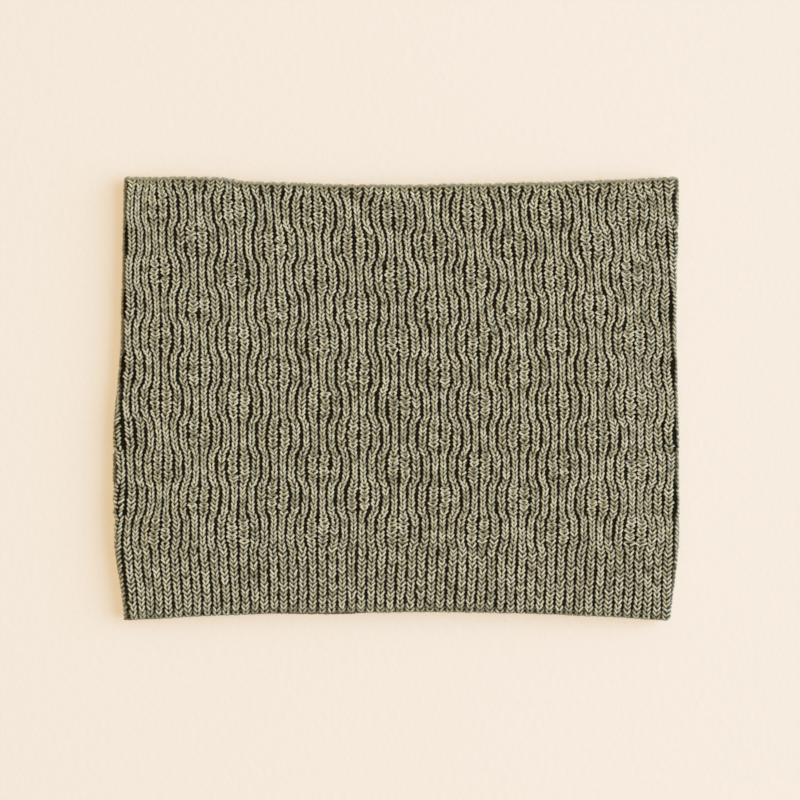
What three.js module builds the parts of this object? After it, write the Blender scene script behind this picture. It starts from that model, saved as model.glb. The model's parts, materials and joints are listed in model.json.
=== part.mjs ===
// A ribbed wool neck gaiter lying flat: one knitted tube, open at the top and at the bottom.
// Millimetres. +X runs across the flat tube, +Y from the cast-on hem to the bound-off edge, +Z up.
// The origin is under the middle of the tube. The tube is divided between its ribs into the strips
// that turn against each other when it is pulled open from flat to round, and the knit that wraps
// round each side fold is a piece of its own between the two layers.
import * as THREE from 'three';

// Driving dimensions of the tube
const FLAT_WIDTH = 270;      // across the flat tube, fold to fold
const RIBS_PER_FACE = 56;    // knit ribs across one layer, so 112 round the tube
const RIBS_PER_STRIP = 8;    // one repeat of the wave pattern
const MID_HEIGHT = 203;      // cast-on to bound-off, down the middle
const CORNER_FLARE = 4.3;    // how far each corner stands beyond the middle of its edge
const FLARE_POWER = 2.2;     // how late that flare sets in across the tube
const WALL = 3.7;            // thickness of the relaxed ribbed knit
const PASSAGE = 4.6;         // height of the flat space inside, between the two layers

// Zones along the tube
const HEM_LENGTH = 36;       // plain one-by-one rib at the bottom
const EDGE_LENGTH = 3.6;     // rolled bound-off edge at the top

// Rib profile
const RIB_DEPTH = 0.9;       // gutter depth below the crests
const CREST_START = 0.25;    // shares of the pitch, from one gutter's middle to the next
const GUTTER_HALF = 0.07;

const GAP = 0.3;             // between neighbouring solids
const FOLD_STEPS = 12;       // facets round a side fold
const ROLL_STEPS = 5;        // along the rolled edge
const ROLL_TIP = 0.3;        // share of the wall that is left at the tip of the rolled edge

const FOLD_RADIUS = WALL + GAP / 2;
const FOLD_X = FLAT_WIDTH / 2 - FOLD_RADIUS;                 // the axis that each fold opens about
const FOLD_Z = WALL + PASSAGE / 2;
const FOLD_ARC = Math.PI * (FOLD_RADIUS - WALL / 2);         // length of the knit round a fold
const RIB = (2 * FOLD_X + FOLD_ARC) / RIBS_PER_FACE;
const STRIP = RIB * RIBS_PER_STRIP;
const SIDE_START = STRIP * 2.5;                              // where the side strips begin
const SIDE_STRIP = FOLD_X - SIDE_START;
// The two layers close up towards each side fold, until only the gap is between them.
const SIDE_TILT = Math.atan2((PASSAGE - GAP) / 2, SIDE_STRIP);

const COLOURS = { wave_rib: 0x8f8a6c, rib_hem: 0x847f62, bound_edge: 0x9a9576 };

// How far the end of the tube stands beyond the middle of that end, at a place x across it
function flare(x) {
  return CORNER_FLARE * Math.abs(x / (FLAT_WIDTH / 2)) ** FLARE_POWER;
}

// The zones of the tube as { name, low, high }, each end a function of the place across the tube
function zones() {
  const half = MID_HEIGHT / 2;
  const hemTop = (x) => -half + HEM_LENGTH - flare(x);
  const edgeFoot = (x) => half - EDGE_LENGTH + flare(x);
  return [
    { name: 'rib_hem', low: (x) => -half - flare(x), high: (x) => hemTop(x) - GAP / 2 },
    { name: 'wave_rib', low: (x) => hemTop(x) + GAP / 2, high: (x) => edgeFoot(x) - GAP / 2 },
    { name: 'bound_edge', low: (x) => edgeFoot(x) + GAP / 2, high: (x) => half + flare(x) },
  ];
}

// Outer face of a strip, rib by rib, from its far end back to its near end at 0
function ribbedFace(width) {
  const floor = WALL - RIB_DEPTH;
  const whole = Math.round(Math.floor(width / RIB + GUTTER_HALF));
  const points = [];
  if (width - whole * RIB > CREST_START * RIB) {
    points.push([width - GAP / 2, WALL], [(whole + CREST_START) * RIB, WALL]);
    points.push([(whole + GUTTER_HALF) * RIB, floor]);
  } else {
    points.push([width - GAP / 2, floor]);
  }
  for (let i = whole - 1; i >= 0; i -= 1) {
    points.push([(i + 1 - GUTTER_HALF) * RIB, floor], [(i + 1 - CREST_START) * RIB, WALL]);
    points.push([(i + CREST_START) * RIB, WALL], [(i + GUTTER_HALF) * RIB, floor]);
  }
  points.push([GAP / 2, floor]);
  return points;
}

// Section of a strip: x along the wall about the strip's middle, y outward from its inner face.
// Ribs are counted from the near end, which is at -x for farSide 1 and at +x for farSide -1.
function stripSection(width, farSide, ribbed) {
  const plain = [[width - GAP / 2, WALL], [GAP / 2, WALL]];
  const face = ribbed ? ribbedFace(width) : plain;
  const outline = [[GAP / 2, 0], [width - GAP / 2, 0], ...face];
  const points = outline.map(([x, y]) => new THREE.Vector2(farSide * (x - width / 2), y));
  return new THREE.Shape(points);
}

// Section of the knit round a fold: a half disc about the fold's axis, on side -1 or 1
function foldSection(side) {
  const back = GAP / 2;
  const sweep = Math.acos(back / FOLD_RADIUS);
  const points = [];
  for (let i = 0; i <= FOLD_STEPS; i += 1) {
    const turn = sweep * ((2 * i) / FOLD_STEPS - 1);
    const reach = FOLD_RADIUS * Math.cos(turn);
    points.push(new THREE.Vector2(side * reach, FOLD_RADIUS * Math.sin(turn)));
  }
  return new THREE.Shape(points);
}

// Extrudes a section along the tube. across(x) is the place on the flat tube of a point of the
// section, which sets where the zone's ends are. The bound-off edge is drawn in towards its tip,
// about the height rollAbout of the section.
function zoneGeometry(section, zone, across, rollAbout) {
  const rolled = zone.name === 'bound_edge';
  const steps = rolled ? ROLL_STEPS : 1;
  const geometry = new THREE.ExtrudeGeometry(section, { depth: 1, steps, bevelEnabled: false });
  geometry.rotateX(Math.PI / 2);
  geometry.translate(0, 1, 0);
  const place = geometry.attributes.position;
  for (let i = 0; i < place.count; i += 1) {
    const x = across(place.getX(i));
    const share = place.getY(i);
    place.setY(i, zone.low(x) + share * (zone.high(x) - zone.low(x)));
    if (rolled) {
      const thickness = ROLL_TIP + (1 - ROLL_TIP) * Math.sqrt(1 - share ** 2);
      place.setZ(i, rollAbout + (place.getZ(i) - rollAbout) * thickness);
    }
  }
  geometry.computeVertexNormals();
  return geometry;
}

// A mesh for each zone of one piece, all from the same section
function zoneMeshes(pieceName, sectionFor, across, rollAbout) {
  return zones().map((zone) => {
    const section = sectionFor(zone.name !== 'bound_edge');
    const material = new THREE.MeshStandardMaterial({
      color: COLOURS[zone.name],
      roughness: 0.95,
      metalness: 0,
    });
    const mesh = new THREE.Mesh(zoneGeometry(section, zone, across, rollAbout), material);
    mesh.name = `${pieceName}_${zone.name}`;
    return mesh;
  });
}

// A strip from start to start + width across the flat tube. One in the back layer is turned over,
// so that its ribs face down. One that leans turns about its near end towards the other layer.
function strip(name, layer, side, start, width, lean = 0) {
  const facing = layer === 'back' ? -1 : 1;
  const near = new THREE.Group();
  near.position.set(side * start, 0, layer === 'back' ? WALL : WALL + PASSAGE);
  near.rotation.y = facing * side * lean;
  const turned = new THREE.Group();
  turned.position.x = side * (width / 2);
  turned.rotation.y = layer === 'back' ? Math.PI : 0;
  const across = (x) => side * (start + width / 2) + facing * x;
  const sectionFor = (ribbed) => stripSection(width, side * facing, ribbed);
  turned.add(...zoneMeshes(name, sectionFor, across, WALL / 2));
  near.add(turned);
  return near;
}

// The knit round one side fold
function fold(hand, side) {
  const place = new THREE.Group();
  place.position.set(side * FOLD_X, 0, FOLD_Z);
  const across = (x) => side * FOLD_X + x;
  place.add(...zoneMeshes(`${hand}_fold`, () => foldSection(side), across, 0));
  return place;
}

// One half of the tube, on side -1 (left) or 1 (right): three strips in each layer, the fold
// between them, and half of the front's middle strip
function halfTube(side) {
  const hand = side < 0 ? 'left' : 'right';
  const half = new THREE.Group();
  for (const layer of ['back', 'front']) {
    half.add(strip(`${layer}_${hand}_inner`, layer, side, STRIP / 2, STRIP));
    half.add(strip(`${layer}_${hand}_outer`, layer, side, STRIP * 1.5, STRIP));
    half.add(strip(`${layer}_${hand}_side`, layer, side, SIDE_START, SIDE_STRIP, SIDE_TILT));
  }
  half.add(fold(hand, side));
  half.add(strip(`front_centre_${hand}`, 'front', side, 0, STRIP / 2));
  return half;
}

function neckGaiter() {
  const gaiter = new THREE.Group();
  gaiter.add(strip('back_centre', 'back', 1, -STRIP / 2, STRIP));
  gaiter.add(halfTube(-1), halfTube(1));
  return gaiter;
}

export default neckGaiter();
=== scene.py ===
"""A ribbed wool neck gaiter laid flat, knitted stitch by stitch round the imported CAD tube.

Every yarn is a tube swept along the path that a stitch takes. Metres, in the CAD frame: +X across the
flat tube, +Y from the cast-on hem to the bound-off edge, +Z up. A place in the knit is a rib and a
row. Ribs count gutters from the middle of the front, to the right and on round the back, and rows
count courses from the cast-on.
"""
import json
import math

import bpy
import numpy as np
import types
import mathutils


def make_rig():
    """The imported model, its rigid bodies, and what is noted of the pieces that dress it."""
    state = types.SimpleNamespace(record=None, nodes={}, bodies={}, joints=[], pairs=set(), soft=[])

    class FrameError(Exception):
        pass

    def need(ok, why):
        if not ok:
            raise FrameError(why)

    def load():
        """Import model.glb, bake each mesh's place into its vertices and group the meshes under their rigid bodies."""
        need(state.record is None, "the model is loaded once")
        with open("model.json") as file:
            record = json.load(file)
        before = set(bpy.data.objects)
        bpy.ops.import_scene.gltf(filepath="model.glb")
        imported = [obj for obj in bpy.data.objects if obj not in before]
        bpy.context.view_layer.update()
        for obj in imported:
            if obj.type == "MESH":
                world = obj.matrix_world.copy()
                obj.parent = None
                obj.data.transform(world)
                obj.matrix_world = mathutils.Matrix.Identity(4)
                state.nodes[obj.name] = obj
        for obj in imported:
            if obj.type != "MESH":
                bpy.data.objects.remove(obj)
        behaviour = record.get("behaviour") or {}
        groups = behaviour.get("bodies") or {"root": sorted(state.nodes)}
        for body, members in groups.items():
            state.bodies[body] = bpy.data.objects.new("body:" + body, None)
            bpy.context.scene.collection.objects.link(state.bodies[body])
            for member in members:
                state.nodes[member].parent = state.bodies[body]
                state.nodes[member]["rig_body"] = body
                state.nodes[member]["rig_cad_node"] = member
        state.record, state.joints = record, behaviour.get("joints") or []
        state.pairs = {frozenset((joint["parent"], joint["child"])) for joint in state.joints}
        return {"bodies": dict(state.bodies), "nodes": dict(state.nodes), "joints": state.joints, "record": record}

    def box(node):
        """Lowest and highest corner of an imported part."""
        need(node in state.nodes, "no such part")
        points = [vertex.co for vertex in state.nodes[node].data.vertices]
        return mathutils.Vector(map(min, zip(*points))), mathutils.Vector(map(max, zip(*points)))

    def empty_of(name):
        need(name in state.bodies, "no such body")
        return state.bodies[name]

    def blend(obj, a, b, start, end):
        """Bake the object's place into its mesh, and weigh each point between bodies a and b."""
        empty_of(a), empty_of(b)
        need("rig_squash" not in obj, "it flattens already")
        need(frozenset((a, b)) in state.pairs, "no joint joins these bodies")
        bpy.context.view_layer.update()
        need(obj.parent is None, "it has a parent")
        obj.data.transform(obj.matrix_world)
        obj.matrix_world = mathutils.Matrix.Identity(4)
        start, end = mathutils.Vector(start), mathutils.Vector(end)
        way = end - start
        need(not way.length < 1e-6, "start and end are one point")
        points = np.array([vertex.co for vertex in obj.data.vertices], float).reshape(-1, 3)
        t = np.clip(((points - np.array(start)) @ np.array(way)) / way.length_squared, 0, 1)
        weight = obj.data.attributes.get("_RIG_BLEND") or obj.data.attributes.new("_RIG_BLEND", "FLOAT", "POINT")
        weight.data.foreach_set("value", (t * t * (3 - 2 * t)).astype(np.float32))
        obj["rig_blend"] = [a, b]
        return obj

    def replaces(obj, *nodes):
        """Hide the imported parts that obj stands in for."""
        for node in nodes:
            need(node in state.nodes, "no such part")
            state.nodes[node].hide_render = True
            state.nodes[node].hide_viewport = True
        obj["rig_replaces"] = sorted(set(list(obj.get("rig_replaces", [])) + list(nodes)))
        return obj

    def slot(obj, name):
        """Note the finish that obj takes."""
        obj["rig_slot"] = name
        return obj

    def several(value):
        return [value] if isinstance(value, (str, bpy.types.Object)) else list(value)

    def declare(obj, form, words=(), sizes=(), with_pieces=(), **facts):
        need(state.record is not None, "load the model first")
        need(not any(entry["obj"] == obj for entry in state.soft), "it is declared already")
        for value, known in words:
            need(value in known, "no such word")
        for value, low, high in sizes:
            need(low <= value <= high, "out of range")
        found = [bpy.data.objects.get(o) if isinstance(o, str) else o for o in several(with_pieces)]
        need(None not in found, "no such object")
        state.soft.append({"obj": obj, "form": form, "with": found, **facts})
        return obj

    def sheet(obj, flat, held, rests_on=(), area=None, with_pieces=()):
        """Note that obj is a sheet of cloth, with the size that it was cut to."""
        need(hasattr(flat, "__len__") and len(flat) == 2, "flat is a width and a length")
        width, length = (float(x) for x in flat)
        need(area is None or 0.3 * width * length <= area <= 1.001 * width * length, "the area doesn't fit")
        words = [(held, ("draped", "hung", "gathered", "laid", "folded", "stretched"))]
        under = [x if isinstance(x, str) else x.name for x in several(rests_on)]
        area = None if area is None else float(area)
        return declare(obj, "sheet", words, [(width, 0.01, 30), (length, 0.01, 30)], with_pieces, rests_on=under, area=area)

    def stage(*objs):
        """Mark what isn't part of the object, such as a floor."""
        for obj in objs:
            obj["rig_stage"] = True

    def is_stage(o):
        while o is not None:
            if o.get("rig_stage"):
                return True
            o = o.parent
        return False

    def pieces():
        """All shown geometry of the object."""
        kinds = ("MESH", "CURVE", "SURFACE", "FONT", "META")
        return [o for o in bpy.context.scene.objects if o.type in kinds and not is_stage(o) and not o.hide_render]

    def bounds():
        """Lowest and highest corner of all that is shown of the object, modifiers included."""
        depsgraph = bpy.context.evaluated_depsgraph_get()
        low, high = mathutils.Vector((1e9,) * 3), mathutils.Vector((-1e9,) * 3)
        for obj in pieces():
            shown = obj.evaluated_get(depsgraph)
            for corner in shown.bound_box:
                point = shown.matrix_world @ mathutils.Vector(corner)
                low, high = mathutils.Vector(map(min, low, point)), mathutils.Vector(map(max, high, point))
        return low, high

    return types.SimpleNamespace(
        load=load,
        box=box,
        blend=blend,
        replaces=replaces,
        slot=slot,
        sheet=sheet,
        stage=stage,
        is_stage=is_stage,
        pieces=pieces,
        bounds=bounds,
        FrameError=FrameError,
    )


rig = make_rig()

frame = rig.load()
cad_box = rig.bounds()

# ------------------------------------------------------------------ sizes read from the frame
JOINTS = {joint["name"]: joint for joint in frame["joints"]}
RIBS_ROUND = 112
RIBS_PER_SECTION = 8
face_low, face_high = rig.box("front_centre_left_wave_rib")
WALL = face_high.z - face_low.z
FOLD_X = abs(JOINTS["left_side_fold"]["pos_m"][0])
FOLD_Z = JOINTS["left_side_fold"]["pos_m"][2]
HALF_WIDTH = cad_box[1].x
FOLD_RADIUS = HALF_WIDTH - FOLD_X - WALL / 2          # of the middle of the wall
MIDDLE_RISE = face_low.z + WALL / 2 - FOLD_Z          # of the front wall's middle above the fold's
FOLD_TURN = 0.00025                                   # half the height over which a fold turns
SIDE_X = abs(JOINTS["left_back_side_bend"]["pos_m"][0])
HALF_ROUND = 2 * FOLD_X + math.pi * FOLD_RADIUS       # from the front's middle to the back's
RIB = 2 * HALF_ROUND / RIBS_ROUND
MID_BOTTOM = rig.box("front_centre_left_rib_hem")[0].y
MID_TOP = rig.box("front_centre_left_bound_edge")[1].y
FLARE = cad_box[1].y - MID_TOP                        # how far the corners stand beyond the middle

# ------------------------------------------------------------------ rows
HEM_ROWS = 18                   # plain rib
EDGE_ROWS = 3                   # bound off
ROWS = 107
HEM_PITCH = 0.00208             # from one row to the next in the hem
EDGE_ROUND = 0.0016             # radius of the turned ends of the wall
EDGE_IN = 0.0008                # from an end to the middle of its turn
BELOW = 0.0017                  # how far the cast-on loops hang beyond the CAD wall
ABOVE = 0.0012                  # how far the last row would run beyond it, and is turned in instead
WAVE_PITCH = (MID_TOP - MID_BOTTOM + BELOW - HEM_ROWS * HEM_PITCH + ABOVE) / (ROWS - HEM_ROWS)

# ------------------------------------------------------------------ stitch
YARN = 0.00057                  # radius
LEG_HEIGHT = 0.00142            # half the height of a loop
LEG_SLANT = 0.00078             # how far a leg leans from neck to shoulder
LOOP_SPREAD = 0.00034           # how far a loop's legs spread
DEPTH = WALL / 2 - YARN         # how far legs stand from the wall's middle
TUCK = 0.00045                  # how far the heads of inward loops are drawn in
SAMPLES = 12                    # path points in a loop
SIDES = 6                       # round the yarn
HEM_FULLER = 0.19               # share by which the hem's loops are wider than the body's,
EDGE_FULLER = 0.33              # those next to the bound-off edge
RIGHT_FULLER = 0.20             # and those by the right fold
RIGHT_FULL_RIB, RIGHT_FULL_RIBS = 26, 4     # at this rib, and over how many
CHAIN_ROWS = 2.2                # over which the gutters fill up to the bound-off edge
CAST_ON_ROWS = 1.8              # and from the cast-on
CAST_ON_FILL = 0.7              # share by which they are filled there
CHAIN_OUT = 0.0011              # how far out inward loops come there
CHAIN_FLAT = 0.20               # share by which the wall thins there

# ------------------------------------------------------------------ unevenness from loop to loop
UNEVEN = 0.19                   # share of a loop's slant and spread
STRAY_ASIDE = 0.00020           # how far a point of the yarn strays across, along the rib and outward
STRAY_ALONG = 0.00017
STRAY_OUT = 0.00014
RIB_WANDER = 0.00018            # of whole ribs
END_WANDER = 0.0003             # of the cast-on and bound-off lines

# ------------------------------------------------------------------ wave pattern
WAVE_RIBS = 8                   # ribs in one repeat across
WAVE_ROWS = 8                   # rows from one row of bumps to the next, half dropped
WAVE_START = 19                 # row of the lowest bumps
WAVE_COUNT = 11                 # rows of bumps
WAVE_SHIFT = 0.00112            # how far the ribs lean aside
WAVE_SNAP = 2.8                 # how sudden the change from one row of bumps to the next is
BUMP_RISE = 0.0007              # how far a bump stands out,
BUMP_HEAD = 0.00075             # and its loops' heads beyond it
BUMP_SPREAD = 0.00012           # how much wider its loops are,
BUMP_SLANT = 0.30               # and by which share they slant more,
BUMP_SHORT = 0.10               # are shorter
BUMP_FLAT = 0.10                # and flatter
BUMP_STRAY_ASIDE, BUMP_STRAY_ALONG = 0.4, 0.8           # how much more they stray
FOLD_CALM, FOLD_CALM_RIBS = 0.8, 1.8    # share by which bumps fade at a fold, over this many ribs

# ------------------------------------------------------------------ how the tube lies
# Heights are shares of the tube's height, places across are shares of half its width.
MIDDLE_PITCH = 0.00486          # from rib to rib in the middle of the front
CROWDING = 0.0000043            # how much closer each rib is than the last, out to the fold
HEM_DRAW, HEM_DRAW_TO = 0.028, 0.22         # how much the cast-on is drawn in, and up to where
RIGHT_CLOSE, RIGHT_CLOSE_FROM = 0.012, 0.7  # how much closer the ribs are at the top right,
LEFT_CLOSE = 0.008                          # and at the bottom left,
CLOSE_TALL = 0.25                           # and over how much of the height
SHIFT = 0.0004                  # how far the knit is turned round to the left,
SHIFT_TOP, SHIFT_BOTTOM = 0.0038, 0.0023    # and how much more at its ends
WAIST = 0.43                    # the height where it is turned least
SHIFT_FADE = 0.022              # how near the left fold the turn fades
SLIP = 0.0042                   # how far the knit has slipped round the left fold,
SLIP_AT, SLIP_TALL = 0.31, 0.15             # at which height and over how much of it,
SLIP_FADE = 0.05                # and how far from the fold
FLARE_POWER = 2.2               # how late the ends turn out to the corners
BOW_LEFT, BOW_LEFT_POWER = 0.0020, 1.8      # how far the rows bow up at half height towards a fold
BOW_RIGHT, BOW_RIGHT_POWER = 0.0005, 2
SHOULDER = 0.0015               # how far the top edge rises towards its left corner,
SHOULDER_FROM, SHOULDER_WIDE = 0.55, 0.10   # where the rise is,
SHOULDER_FALL = 0.7             # how much of it is lost again,
SHOULDER_FALL_FROM, SHOULDER_FALL_WIDE = 0.75, 0.2
SWELL = 0.0005                  # how far the middle of the top edge rises
TOP_FROM, BOTTOM_TO = 0.72, 0.2             # heights between which neither end's line matters
DROOP = 0.0019                  # how far the back's cast-on hangs below the front's,
DROOP_X, DROOP_WIDE = -0.038, 0.024         # where, and over what width in metres,
DROOP_TO = 0.1                  # and up to where
LEFT_TAPER, LEFT_TAPER_FROM = 0.010, 0.55   # the left outline draws in to the top,
LEFT_BULGE, LEFT_BULGE_AT, LEFT_BULGE_TALL = 0.013, 0.3, 0.22       # bulges below the middle,
LEFT_BELLY, LEFT_BELLY_FROM, LEFT_BELLY_TALL = 0.018, 0.42, 0.2     # and more so right at the fold
RIGHT_WAIST, RIGHT_WAIST_AT, RIGHT_WAIST_TALL = 0.010, 0.68, 0.18   # the right one draws in here
LOWEST = 1.05 * YARN            # of a yarn's middle above the floor

# ------------------------------------------------------------------ colours
# A yarn's colour is painted with shade and highlight: darkest at the wall's middle and lightest at a rib's top.
# Where it lies open to the light its painted shade is lightened, though it isn't at a rib's top.
TIP_OPEN = 0.90                 # at the turned ends of the wall, as a share of the lift at a rib's top
FOLD_OPEN = 0.70                # at a fold, as a share of that at the ends
BUMP_OPEN = 0.70                # at a bump, likewise
PAINTED_GUTTER_SHADE = (0.018, 0.012, 0.003)    # painted shade in the gutters
SAGE = (0.320, 0.297, 0.182)    # the yarn's own colour, on the sides of the loops
PAINTED_CREST_HIGHLIGHT = (0.680, 0.655, 0.490)   # painted highlight on their tops
PAINTED_LIGHTER = {"edge_wool": 1.22}   # painted lighter, as the bound-off yarn lies open to the light
SHADES = ((0.55, 0.40), (0.80, 0.95))       # lifts in between, and their shares of SAGE: painted shade down the loops' sides
DARKEST_LIFT = 0.20
SECTION_YARN = 0.16             # metres of yarn in a section's row
PLY_TURNS = 480                 # twists in a metre
ROUND_YARN = 0.004              # metres between rows of yarn in the pattern of fibres
FIBRE_SCALE, HEATHER_SCALE = 1500, 260
EVEN_TONE, FIBRE_TONE, HEATHER_TONE, PLY_TONE = 0.65, 0.35, 0.35, 0.04
PLY_RELIEF = 0.6                # of the plies, against that of the fibres
# the dark sheet between the yarns: painted shade in the gaps between the loops
SHADE_WEB_DARK, SHADE_WEB_LIGHT, SHADE_WEB_SCALE = (0.004, 0.002, 0.001), (0.024, 0.018, 0.008), 1400

# ------------------------------------------------------------------ studio
SEEN_WIDTH = 0.3843             # of the picture, at the top of the tube
CAMERA_Y = -0.0012
LENS, SENSOR = 100, 36          # millimetres
FLOOR_REACH = 3.0               # from the middle to a side
PAPER = (0.86, 0.80, 0.725)
KEY_WATTS, KEY_SIZE, KEY_COLOUR, KEY_PLACE = 320, 5.12, (0.34, 0.60, 1.0), (4.64, 0.32, 3.36)
SKY_WATTS, SKY_SIZE, SKY_COLOUR, SKY_PLACE = 142, 1.2, (1.0, 0.77, 0.48), (0, 0, 4.4)
WORLD_COLOUR, WORLD_STRENGTH = (0.94, 1.0, 0.96), 0.20

noise = np.random.default_rng(7)
JITTER = noise.normal(size=(4, ROWS, RIBS_ROUND * 4)).clip(-2, 2)
SLOW = [(noise.uniform(-1, 1), int(noise.integers(3, 19)), noise.uniform(0.02, 0.11),
         noise.uniform(0, 2 * math.pi)) for _ in range(24)]


def smoothstep(t):
    t = np.clip(t, 0, 1)
    return t * t * (3 - 2 * t)


def hill(value, middle, spread):
    """A smooth rise to 1 at the middle, over about twice the spread."""
    return np.exp(-((value - middle) / spread) ** 2)


def wrap(value, half_turn):
    """The value, brought to between -half_turn and half_turn by whole turns."""
    return np.mod(value + half_turn, 2 * half_turn) - half_turn


def slow_noise(rib, row, first):
    """Gentle unevenness over several ribs and rows, from about -1 to 1."""
    waves = SLOW[first:first + 8]
    turn = 2 * math.pi * rib / RIBS_ROUND
    return sum(a * np.sin(n * turn + 2 * math.pi * f * row + p) for a, n, f, p in waves) / 2


def jitter(kind, wale, row_index):
    """Each loop's own unevenness, eased from one loop to the next along the yarn."""
    place = 2 * wale
    before = np.floor(place).astype(int)
    t = smoothstep(place - before)
    values = JITTER[kind][row_index]
    count = values.shape[-1]
    return values[:, before % count] * (1 - t) + values[:, (before + 1) % count] * t


def wave_state(row):
    """From -1 to 1: which of the two half-dropped columns of bumps is open at this row."""
    phase = np.cos(math.pi * (row - WAVE_START) / WAVE_ROWS)
    state = np.tanh(WAVE_SNAP * phase) / math.tanh(WAVE_SNAP)
    return state * smoothstep((row - WAVE_START + WAVE_ROWS * 0.8) / 4)


def wave_lean(rib, row):
    """How far aside the wave moves a point, in ribs."""
    return WAVE_SHIFT / RIB * np.sin(2 * math.pi * rib / WAVE_RIBS) * wave_state(row)


def bump(rib, row):
    """From 0 to 1: how far into a bump a point is."""
    across = np.cos(2 * math.pi * rib / WAVE_RIBS) * wave_state(row)
    last = WAVE_START + WAVE_ROWS * (WAVE_COUNT - 0.5)
    return smoothstep((across - 0.2) / 0.6) * (row < last)


def row_height(row):
    """Height of a row above the cast-on, at the middle of the front."""
    return np.minimum(row, HEM_ROWS) * HEM_PITCH + np.maximum(row - HEM_ROWS, 0) * WAVE_PITCH


def hem_draw(share):
    """The share of its width by which the tube is drawn in towards the cast-on."""
    return HEM_DRAW * smoothstep(1 - share / HEM_DRAW_TO) ** 1.5


def way_round(rib, share):
    """How far round the middle of the wall a rib lies at a share of the height, in metres from the
    front's middle: above 0 round to the right, below 0 round to the left."""
    ribs = wrap(rib, RIBS_ROUND / 2)
    hand = np.where(ribs < 0, -1.0, 1.0)
    ribs = np.abs(ribs)
    quarter = RIBS_ROUND / 4
    wide_right = hem_draw(share) - RIGHT_CLOSE * smoothstep((share - RIGHT_CLOSE_FROM) / CLOSE_TALL)
    wide_left = -LEFT_CLOSE * smoothstep(1 - share / CLOSE_TALL)
    stretch = 1 + np.where(hand > 0, wide_right, wide_left)
    on_front = ribs * ((MIDDLE_PITCH - CROWDING * np.minimum(ribs, quarter)) * stretch)
    to_fold = quarter * (MIDDLE_PITCH - CROWDING * quarter) * stretch
    on_back = to_fold + (ribs - quarter) * (HALF_ROUND - to_fold) / quarter
    along = hand * np.where(ribs < quarter, on_front, on_back)
    above = SHIFT_TOP * ((share - WAIST) / (1 - WAIST)) ** 2
    below = SHIFT_BOTTOM * (1 - share / WAIST) ** 2
    shift = -SHIFT - np.where(share > WAIST, above, below)
    from_left_fold = np.abs(wrap(along + HALF_ROUND / 2, HALF_ROUND))
    along = along + shift * smoothstep(from_left_fold / SHIFT_FADE)
    slip = SLIP * hill(share, SLIP_AT, SLIP_TALL)
    along = along + slip * (1 - smoothstep(from_left_fold / SLIP_FADE))
    return wrap(along, HALF_ROUND)


def end_line(rib, share, middle_x, side, front):
    """How far the rows near the ends stray up from their plain curve."""
    u = middle_x / HALF_WIDTH
    corner = -side * u
    fall = SHOULDER_FALL * smoothstep((corner - SHOULDER_FALL_FROM) / SHOULDER_FALL_WIDE)
    top = SHOULDER * smoothstep((corner - SHOULDER_FROM) / SHOULDER_WIDE) * (1 - fall)
    top = top + SWELL * (1 - u ** 4) + END_WANDER * slow_noise(rib, 0, 8)
    bottom = END_WANDER * slow_noise(rib, 0, 16)
    line = top * smoothstep((share - TOP_FROM) / (1 - TOP_FROM)) - bottom * smoothstep(1 - share / BOTTOM_TO)
    droop = DROOP * hill(side * middle_x, DROOP_X, DROOP_WIDE) * smoothstep(1 - share / DROOP_TO)
    return line - np.where(front, 0, droop)


def drawn_in(share, u, side):
    """The share of its width by which the tube is drawn in, below 0 where it bulges."""
    left = LEFT_TAPER * smoothstep((share - LEFT_TAPER_FROM) / (1 - LEFT_TAPER_FROM))
    left = left - LEFT_BULGE * hill(share, LEFT_BULGE_AT, LEFT_BULGE_TALL)
    right = RIGHT_WAIST * hill(share, RIGHT_WAIST_AT, RIGHT_WAIST_TALL)
    belly = np.where(side < 0, 1 - smoothstep((share - LEFT_BELLY_FROM) / LEFT_BELLY_TALL), 0)
    return hem_draw(share) + np.where(side < 0, left, right) * u ** 2 - LEFT_BELLY * belly * u ** 6


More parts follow.
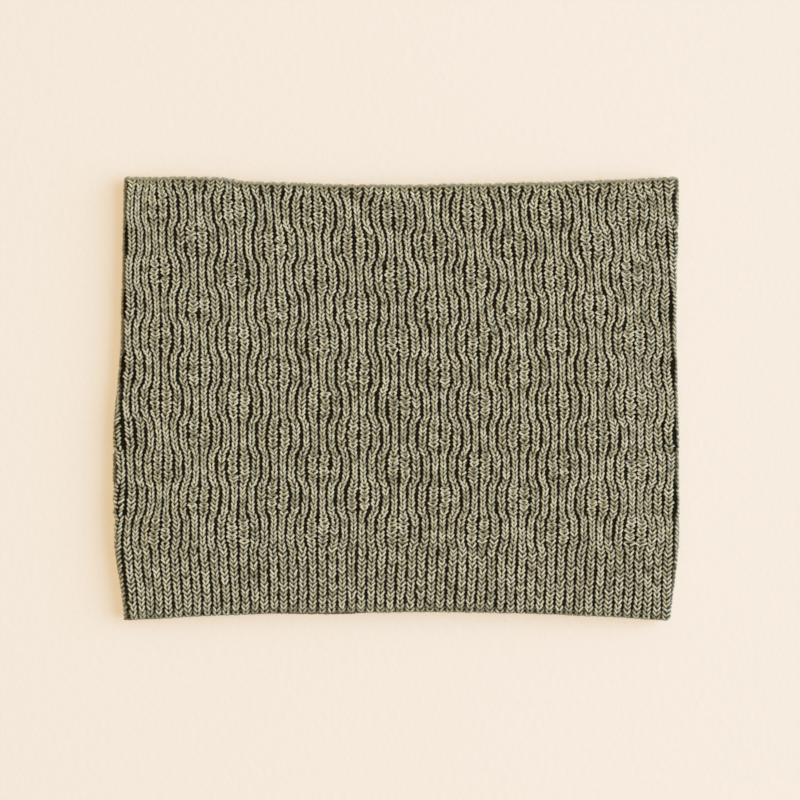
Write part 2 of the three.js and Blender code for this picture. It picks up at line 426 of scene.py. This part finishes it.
def wall(rib, row, out):
    """Points of the knit, which way is outward there, and how open to the light they are, which lifts their painted
    shade. out is how far they are from the wall's middle, outward."""
    length = MID_TOP - MID_BOTTOM + BELOW
    share = row_height(row) / length
    along = way_round(rib, share)
    side = np.where(along < 0, -1.0, 1.0)
    along = np.abs(along)
    front = along < HALF_ROUND / 2
    up = np.where(front, 1.0, -1.0)

    # the cross-section: a flat layer that falls smoothly to a round fold
    far = np.where(front, along, HALF_ROUND - along)
    angle = np.maximum(far - FOLD_X, 0) / FOLD_RADIUS
    t = np.clip((far - SIDE_X) / (FOLD_X - SIDE_X), 0, 1)
    fall = (MIDDLE_RISE - FOLD_RADIUS) * 6 * t * (1 - t) / (FOLD_X - SIDE_X)
    lean = np.where(angle > 0, angle, np.arctan(fall))
    layer = MIDDLE_RISE + (FOLD_RADIUS - MIDDLE_RISE) * smoothstep(t)
    rise = np.where(angle > 0, FOLD_RADIUS * np.cos(angle), layer)
    middle_x = np.minimum(far, FOLD_X) + FOLD_RADIUS * np.sin(angle)

    # the rows: hollow towards both ends, where the wall turns in on itself
    u = middle_x / HALF_WIDTH
    flare = FLARE * u ** FLARE_POWER
    bow_left = BOW_LEFT * np.where(side < 0, u ** BOW_LEFT_POWER, 0)
    bow_right = BOW_RIGHT * np.where(side > 0, u ** BOW_RIGHT_POWER, 0)
    bow = (bow_left + bow_right) * 4 * share * (1 - share)
    line = end_line(rib, share, middle_x, side, front)
    y = MID_BOTTOM - BELOW - flare + share * (length + 2 * flare) + bow + line
    low = MID_BOTTOM - BELOW - flare + EDGE_IN + np.minimum(line, 0)
    high = MID_TOP + flare - EDGE_IN + line * (share > 0.5)
    beyond = np.maximum(y - high, 0) - np.maximum(low - y, 0)
    tip = np.clip(beyond / EDGE_ROUND, -math.pi / 2, math.pi / 2)
    y = np.clip(y, low, high) + np.abs(out) * np.sin(tip)
    out = out * np.cos(tip)

    x = side * (middle_x + out * np.sin(lean)) * (1 - drawn_in(share, u, side))
    z = np.maximum(FOLD_Z + up * (rise + out * np.cos(lean)), LOWEST)
    outward = np.stack([side * np.sin(lean) * np.cos(tip), np.sin(tip) * np.sign(out),
                        up * np.cos(lean) * np.cos(tip)], -1)
    # a share that lifts the painted shade where the knit lies open to the light, at the turned ends and at the folds
    lit = np.maximum(np.abs(np.sin(tip)), FOLD_OPEN * np.sin(lean) ** 2)
    return np.stack([x, y, z], -1), outward, lit


def course_path(first_rib, rows):
    """The middles of the yarns, course by point, which way is outward there, how far out they are, and how
    open to the light, which lifts their painted shade."""
    steps = RIBS_PER_SECTION * 2 * SAMPLES
    wale = 2 * first_rib + np.arange(steps + 1) / SAMPLES
    loop = np.floor(wale + 0.5)
    t = 2 * math.pi * (wale + 0.5 - loop)
    outer = np.mod(loop, 2) == 1
    index = np.asarray(list(rows))
    row = index[:, None] + 0.5
    rib = np.broadcast_to(wale / 2, (len(index), steps + 1))
    raised = bump(rib, row) * (1 - FOLD_CALM * hill(np.abs(rib), RIBS_ROUND / 4, FOLD_CALM_RIBS))
    raised_loop = raised * outer

    # the loop as seen from outside
    uneven = 1 + UNEVEN * jitter(3, wale, index)
    fuller = HEM_FULLER * smoothstep((HEM_ROWS + 2 - row) / 4)
    fuller = fuller + EDGE_FULLER * smoothstep((row - ROWS + 6) / 5)
    fuller = fuller + RIGHT_FULLER * hill(rib, RIGHT_FULL_RIB, RIGHT_FULL_RIBS)
    fuller = np.minimum(fuller, EDGE_FULLER)
    slant = LEG_SLANT * (1 + BUMP_SLANT * raised_loop + fuller) * uneven
    spread = LOOP_SPREAD * (uneven + fuller) + BUMP_SPREAD * raised_loop
    stray = STRAY_ASIDE * (1 + BUMP_STRAY_ASIDE * raised) * jitter(0, wale, index)
    aside = -spread * np.sin(t) + slant * np.sin(2 * t) + stray
    height = LEG_HEIGHT * (1 - BUMP_SHORT * raised)
    stray = STRAY_ALONG * (1 + BUMP_STRAY_ALONG * raised) * jitter(1, wale, index)
    place = row + (stray - height * np.cos(t)) / WAVE_PITCH

    # how far it stands out
    head = (1 - np.cos(t)) / 2
    out = np.where(outer, 1, -1) * DEPTH * (1 - np.cos(t) ** 4)
    beyond = np.where(outer, raised_loop * BUMP_HEAD * head ** 3, -TUCK * head ** 3)
    out = out * (1 - BUMP_FLAT * raised_loop) + beyond + STRAY_OUT * jitter(2, wale, index)
    bound = np.maximum(smoothstep((row - ROWS + EDGE_ROWS + 0.3) / CHAIN_ROWS),
                       smoothstep((CAST_ON_ROWS - row) / CAST_ON_ROWS) * CAST_ON_FILL)
    inward = np.where(outer, 0, np.sin(t / 2) ** 2) * bound
    out = out * (1 - CHAIN_FLAT * bound) * (1 - inward) + CHAIN_OUT * inward

    rib = rib + (aside + RIB_WANDER * slow_noise(rib, row, 0)) / RIB
    points, outward, lit = wall(rib + wave_lean(rib, place), place, out + BUMP_RISE * raised)
    # bumps lie open to the light too, so their painted shade is lifted
    return points, outward, out, np.maximum(lit, BUMP_OPEN * raised_loop)


def sweep(name, first_rib, rows):
    """A mesh of closed tubes, one for each course."""
    paths, outward, out, lit = course_path(first_rib, rows)
    courses, points = paths.shape[:2]
    tangent = np.gradient(paths, axis=1)
    tangent /= np.linalg.norm(tangent, axis=2, keepdims=True)
    side = np.empty_like(paths)
    side[:, 0] = np.cross(tangent[:, 0], outward[:, 0])
    for i in range(points):
        carried = side[:, max(i - 1, 0)]
        flat = carried - (carried * tangent[:, i]).sum(1, keepdims=True) * tangent[:, i]
        side[:, i] = flat / np.linalg.norm(flat, axis=1, keepdims=True)
    other = np.cross(side, tangent)
    turn = 2 * math.pi * np.arange(SIDES) / SIDES
    ring = side[:, :, None] * np.cos(turn)[:, None] + other[:, :, None] * np.sin(turn)[:, None]
    vertices = (paths[:, :, None] + ring * YARN).reshape(-1, 3)
    # painted shade: how far each point of the yarn lies from the wall's middle, lifted where it lies open to the light
    lift = np.abs(out[:, :, None] + YARN * (ring * outward[:, :, None]).sum(-1))
    lift = np.maximum(lift, TIP_OPEN * WALL / 2 * lit[:, :, None]).ravel()
    index = np.arange(courses * points * SIDES).reshape(courses, points, SIDES)
    a, b = index[:, :-1], index[:, 1:]
    quads = np.stack([a, b, np.roll(b, -1, 2), np.roll(a, -1, 2)], -1).reshape(-1, 4)
    caps = np.concatenate([index[:, 0], index[:, -1, ::-1]])
    piece = mesh_object(name, vertices, [quads, caps], lift)
    u = np.arange(points - 1) / (points - 1)
    v = np.arange(courses)[:, None, None] / courses + np.arange(SIDES) / SIDES / courses
    du, dv = 1 / (points - 1), 1 / SIDES / courses
    low = np.stack(np.broadcast_arrays(u[None, :, None], v), -1)
    quad_uv = np.stack([low, low + [du, 0], low + [du, dv], low + [0, dv]], -2).reshape(-1, 2)
    ends = np.array([0.0, 1.0])[:, None, None]
    cap_uv = np.stack(np.broadcast_arrays(ends, v[None, :, 0]), -1).reshape(-1, 2)
    layer = piece.data.uv_layers.new(name="OFBake")
    layer.data.foreach_set("uv", np.concatenate([quad_uv, cap_uv]).astype(np.float32).ravel())
    return piece


def mesh_object(name, vertices, face_groups, lift=None):
    """A smooth-shaded object of these faces. The lift given is how far from the wall's middle each point's
    colour is taken, for its painted shade and highlight."""
    corners = np.concatenate([faces.ravel() for faces in face_groups])
    sizes = np.concatenate([np.full(len(faces), faces.shape[1]) for faces in face_groups])
    mesh = bpy.data.meshes.new(name)
    mesh.vertices.add(len(vertices))
    mesh.vertices.foreach_set("co", vertices.astype(np.float32).ravel())
    mesh.loops.add(len(corners))
    mesh.loops.foreach_set("vertex_index", corners.astype(np.int32))
    mesh.polygons.add(len(sizes))
    starts = np.concatenate([[0], np.cumsum(sizes)[:-1]])
    mesh.polygons.foreach_set("loop_start", starts.astype(np.int32))
    mesh.update(calc_edges=True)
    mesh.polygons.foreach_set("use_smooth", np.ones(len(sizes), bool))
    if lift is not None:
        attribute = mesh.attributes.new("lift", "FLOAT", "POINT")
        attribute.data.foreach_set("value", (lift / (WALL / 2)).astype(np.float32))
    piece = bpy.data.objects.new(name, mesh)
    bpy.context.scene.collection.objects.link(piece)
    return piece


def painted_shade_sheet(name, first_rib):
    """A dark sheet in the middle of the wall, between outward and inward loops: painted shade in the gaps between the
    yarns.
    """
    steps, half_thick, sway = 8, 0.00012, 0.00030
    across = first_rib + np.arange(RIBS_PER_SECTION * steps + 1) / steps
    rows = np.linspace(0.4, ROWS - 0.6, ROWS + 1)[:, None]
    middle = BUMP_RISE * bump(across, rows) - sway * np.cos(2 * math.pi * across)
    across, rows = np.broadcast_arrays(across, rows)
    layers = []
    for sign in (1, -1):
        points, _, _ = wall(across + wave_lean(across, rows), rows, middle + sign * half_thick)
        layers.append(points)
    down, wide = layers[0].shape[:2]
    index = np.arange(2 * down * wide).reshape(2, down, wide)
    top, bottom = ([layer[:-1, :-1], layer[:-1, 1:], layer[1:, 1:], layer[1:, :-1]] for layer in index)
    faces = [np.stack(top, -1).reshape(-1, 4), np.stack(bottom, -1)[..., [0, 3, 2, 1]].reshape(-1, 4)]
    for line in (index[:, 0, :], index[:, :, -1], index[:, -1, ::-1], index[:, ::-1, 0]):
        faces.append(np.stack([line[0, :-1], line[1, :-1], line[1, 1:], line[0, 1:]], -1))
    return mesh_object(name, np.concatenate([layer.reshape(-1, 3) for layer in layers]), faces)


class Nodes:
    """A material's nodes, made and joined in one call each."""

    def __init__(self, name):
        self.material = bpy.data.materials.new(name)
        self.material.use_nodes = True
        self.tree = self.material.node_tree
        self.shader = self.tree.nodes["Principled BSDF"]

    def add(self, kind, inputs=(), **settings):
        node = self.tree.nodes.new(kind)
        for key, value in settings.items():
            setattr(node, key, value)
        for key, value in dict(inputs).items():
            if isinstance(value, bpy.types.NodeSocket):
                self.tree.links.new(value, node.inputs[key])
            else:
                node.inputs[key].default_value = value
        return node.outputs

    def math(self, operation, *values):
        return self.add("ShaderNodeMath", dict(enumerate(values)), operation=operation)["Value"]

    def join(self, output, name):
        self.tree.links.new(output, self.shader.inputs[name])

    def noise(self, spot, scale, detail, roughness=0.5):
        inputs = {"Vector": spot, "Scale": scale, "Detail": detail, "Roughness": roughness}
        return self.add("ShaderNodeTexNoise", inputs)["Fac"]

    def relief(self, height, strength, distance):
        inputs = {"Height": height, "Strength": strength, "Distance": distance}
        self.join(self.add("ShaderNodeBump", inputs)["Normal"], "Normal")

    def surface(self, roughness, specular):
        self.shader.inputs["Roughness"].default_value = roughness
        self.shader.inputs["Specular IOR Level"].default_value = specular


def wool(name, rows, gutter_shade, colour, crest_highlight):
    """Plied wool: two twisted plies with loose fibres, heathered, with painted shade darker down between the loops and
    a painted highlight on the loops' tops.
    """
    n = Nodes(name)
    uv = n.add("ShaderNodeUVMap", uv_map="OFBake")["UV"]
    parts = n.add("ShaderNodeSeparateXYZ", {0: uv})
    along = n.math("MULTIPLY", parts[0], SECTION_YARN)
    around = n.math("MULTIPLY", parts[1], rows)
    turns = n.math("ADD", n.math("MULTIPLY", around, 2), n.math("MULTIPLY", along, PLY_TURNS))
    ply = n.math("SINE", n.math("MULTIPLY", turns, 2 * math.pi))
    apart = n.math("MULTIPLY", around, ROUND_YARN)
    spot = n.add("ShaderNodeCombineXYZ", {0: along, 1: apart, 2: 0})["Vector"]
    fibres = n.noise(spot, FIBRE_SCALE, 3, 0.7)
    heather = n.noise(spot, HEATHER_SCALE, 2, 0.6)
    # painted shade and highlight, taken from how far out the yarn lies
    lift = n.add("ShaderNodeAttribute", attribute_name="lift")["Fac"]
    ramp = n.tree.nodes.new("ShaderNodeValToRGB")
    stops = ramp.color_ramp.elements
    stops[0].position, stops[0].color = DARKEST_LIFT, (*gutter_shade, 1)
    stops[1].position, stops[1].color = 1.0, (*crest_highlight, 1)
    for height, share in SHADES:
        stops.new(height).color = (*[part * share for part in colour], 1)
    n.tree.links.new(lift, ramp.inputs["Fac"])
    tone = n.math("ADD", n.math("MULTIPLY", fibres, FIBRE_TONE), n.math("MULTIPLY", heather, HEATHER_TONE))
    tone = n.math("ADD", n.math("ADD", tone, EVEN_TONE), n.math("MULTIPLY", ply, PLY_TONE))
    toned = n.add("ShaderNodeVectorMath", {0: ramp.outputs["Color"], "Scale": tone}, operation="SCALE")
    n.join(toned["Vector"], "Base Color")
    n.relief(n.math("ADD", n.math("MULTIPLY", ply, PLY_RELIEF), fibres), 0.6, 0.00012)
    n.surface(0.85, 0.25)
    n.shader.inputs["Sheen Weight"].default_value = 0.15
    n.shader.inputs["Sheen Roughness"].default_value = 0.4
    return n.material


def painted_shade_finish():
    """A dark finish for the sheet between the yarns: painted shade, mottled with a fibre noise."""
    n = Nodes("matted_fibres")
    fibres = n.noise(n.add("ShaderNodeTexCoord")["Object"], SHADE_WEB_SCALE, 4, 0.7)
    shades = {0: fibres, 6: (*SHADE_WEB_DARK, 1), 7: (*SHADE_WEB_LIGHT, 1)}
    n.join(n.add("ShaderNodeMix", shades, data_type="RGBA")["Result"], "Base Color")
    n.relief(fibres, 0.8, 0.0003)
    n.surface(0.95, 0.02)
    return n.material


def paper():
    """The floor's pale, slightly rough paper."""
    n = Nodes("paper")
    n.relief(n.noise(n.add("ShaderNodeTexCoord")["Object"], 260, 4), 0.35, 0.0006)
    n.shader.inputs["Base Color"].default_value = (*PAPER, 1)
    n.surface(0.9, 0.1)
    return n.material


def light(name, watts, size, colour, place):
    """A square lamp that shines straight down."""
    lamp = bpy.data.objects.new(name, bpy.data.lights.new(name, "AREA"))
    lamp.data.energy = watts
    lamp.data.size = size
    lamp.data.color = colour
    lamp.location = place
    bpy.context.scene.collection.objects.link(lamp)
    return lamp


def studio():
    """The camera straight above, a paper floor, a cool key light from the right and a warm one above."""
    scene = bpy.context.scene
    scene.view_settings.view_transform = "Standard"
    camera = bpy.data.objects.new("camera", bpy.data.cameras.new("camera"))
    scene.collection.objects.link(camera)
    camera.data.lens = LENS
    camera.data.sensor_width = SENSOR
    camera.location = (0, CAMERA_Y, cad_box[1].z + SEEN_WIDTH * LENS / SENSOR)
    camera.data.clip_end = 20
    scene.camera = camera
    floor_mesh = bpy.data.meshes.new("floor")
    corners = [(x * FLOOR_REACH, y * FLOOR_REACH, 0) for x, y in ((-1, -1), (1, -1), (1, 1), (-1, 1))]
    floor_mesh.from_pydata(corners, [], [(0, 1, 2, 3)])
    floor = bpy.data.objects.new("floor", floor_mesh)
    scene.collection.objects.link(floor)
    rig.stage(floor)
    floor.data.materials.append(paper())
    key = light("key", KEY_WATTS, KEY_SIZE, KEY_COLOUR, KEY_PLACE)
    key.rotation_euler = (-key.location).to_track_quat("-Z", "Y").to_euler()
    light("sky", SKY_WATTS, SKY_SIZE, SKY_COLOUR, SKY_PLACE)
    scene.world = bpy.data.worlds.new("world")
    scene.world.use_nodes = True
    background = scene.world.node_tree.nodes["Background"].inputs
    background["Color"].default_value = (*WORLD_COLOUR, 1)
    background["Strength"].default_value = WORLD_STRENGTH


def sections():
    """The stretches of knit that each bend about one joint: name, first rib, joint and where its bend
    starts and ends. Each bends from the middle of one flat strip to the middle of the next."""
    hinges = [abs(JOINTS[f"left_back_{part}_bend"]["pos_m"][0]) for part in ("inner", "outer", "side")]
    lines = [-hinges[0], *hinges, FOLD_X]
    middles = [(inner + outer) / 2 for inner, outer in zip(lines, lines[1:])]
    flat = [("inner", 0), ("outer", 1), ("side", 2)]
    plan = [(f"back_{part}", step) for part, step in flat]
    plan += [("fold", None)] + [(f"front_{part}", step) for part, step in reversed(flat)]
    for hand, sign in (("left", -1), ("right", 1)):
        for place, (name, step) in enumerate(plan):
            near = (len(plan) - 1 - place) * RIBS_PER_SECTION
            first = near if sign > 0 else -near - RIBS_PER_SECTION
            if step is None:
                joint = JOINTS[f"{hand}_side_fold"]
                start, end = ((sign * FOLD_X, 0, FOLD_Z + turn) for turn in (-FOLD_TURN, FOLD_TURN))
            else:
                joint = JOINTS[f"{hand}_{name}_bend"]
                start, end = ((sign * x, 0, 0) for x in middles[step:step + 2])
                if name.startswith("front"):
                    start, end = end, start
            yield f"{hand}_{name}", first, joint, start, end


ZONES = [("hem", range(0, HEM_ROWS), "rib_hem", "hem_wool"),
         ("waves", range(HEM_ROWS, ROWS - EDGE_ROWS), "wave_rib", "wave_wool"),
         ("edge", range(ROWS - EDGE_ROWS, ROWS), "bound_edge", "edge_wool")]

studio()
materials = {}
for _, rows, _, slot in ZONES:
    # each finish's painted shade, own colour and painted highlight; the bound-off edge's are painted lighter
    tints = [[part * PAINTED_LIGHTER.get(slot, 1) for part in colour] for colour in (PAINTED_GUTTER_SHADE, SAGE, PAINTED_CREST_HIGHLIGHT)]
    materials[slot] = wool(slot, len(rows), *tints)
shade_web_finish = painted_shade_finish()
for name, first, joint, start, end in sections():
    bodies = [joint["parent"], joint["child"]]
    owners, held = bodies, "laid"
    if "fold" in name:
        owners, held = [*bodies, name], "folded"
    # the dark sheet of painted shade between the yarns, which is also the cloth that the yarns go with
    shade_web = painted_shade_sheet(f"{name}_web", first)
    shade_web.data.materials.append(shade_web_finish)
    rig.blend(shade_web, *bodies, start, end)
    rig.slot(shade_web, "wave_wool")
    yarns = []
    for zone, rows, node, slot in ZONES:
        yarn = sweep(f"{name}_{zone}", first, rows)
        yarn.data.materials.append(materials[slot])
        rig.blend(yarn, *bodies, start, end)
        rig.slot(yarn, slot)
        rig.replaces(yarn, *[f"{owner}_{node}" for owner in owners])
        yarns.append(yarn)
    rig.sheet(shade_web, flat=(RIB * RIBS_PER_SECTION, MID_TOP - MID_BOTTOM), held=held, with_pieces=yarns)

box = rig.bounds()
with open("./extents.json", "w") as size_file:
    json.dump({"cad": [list(corner) for corner in cad_box], "visual": [list(corner) for corner in box]}, size_file)
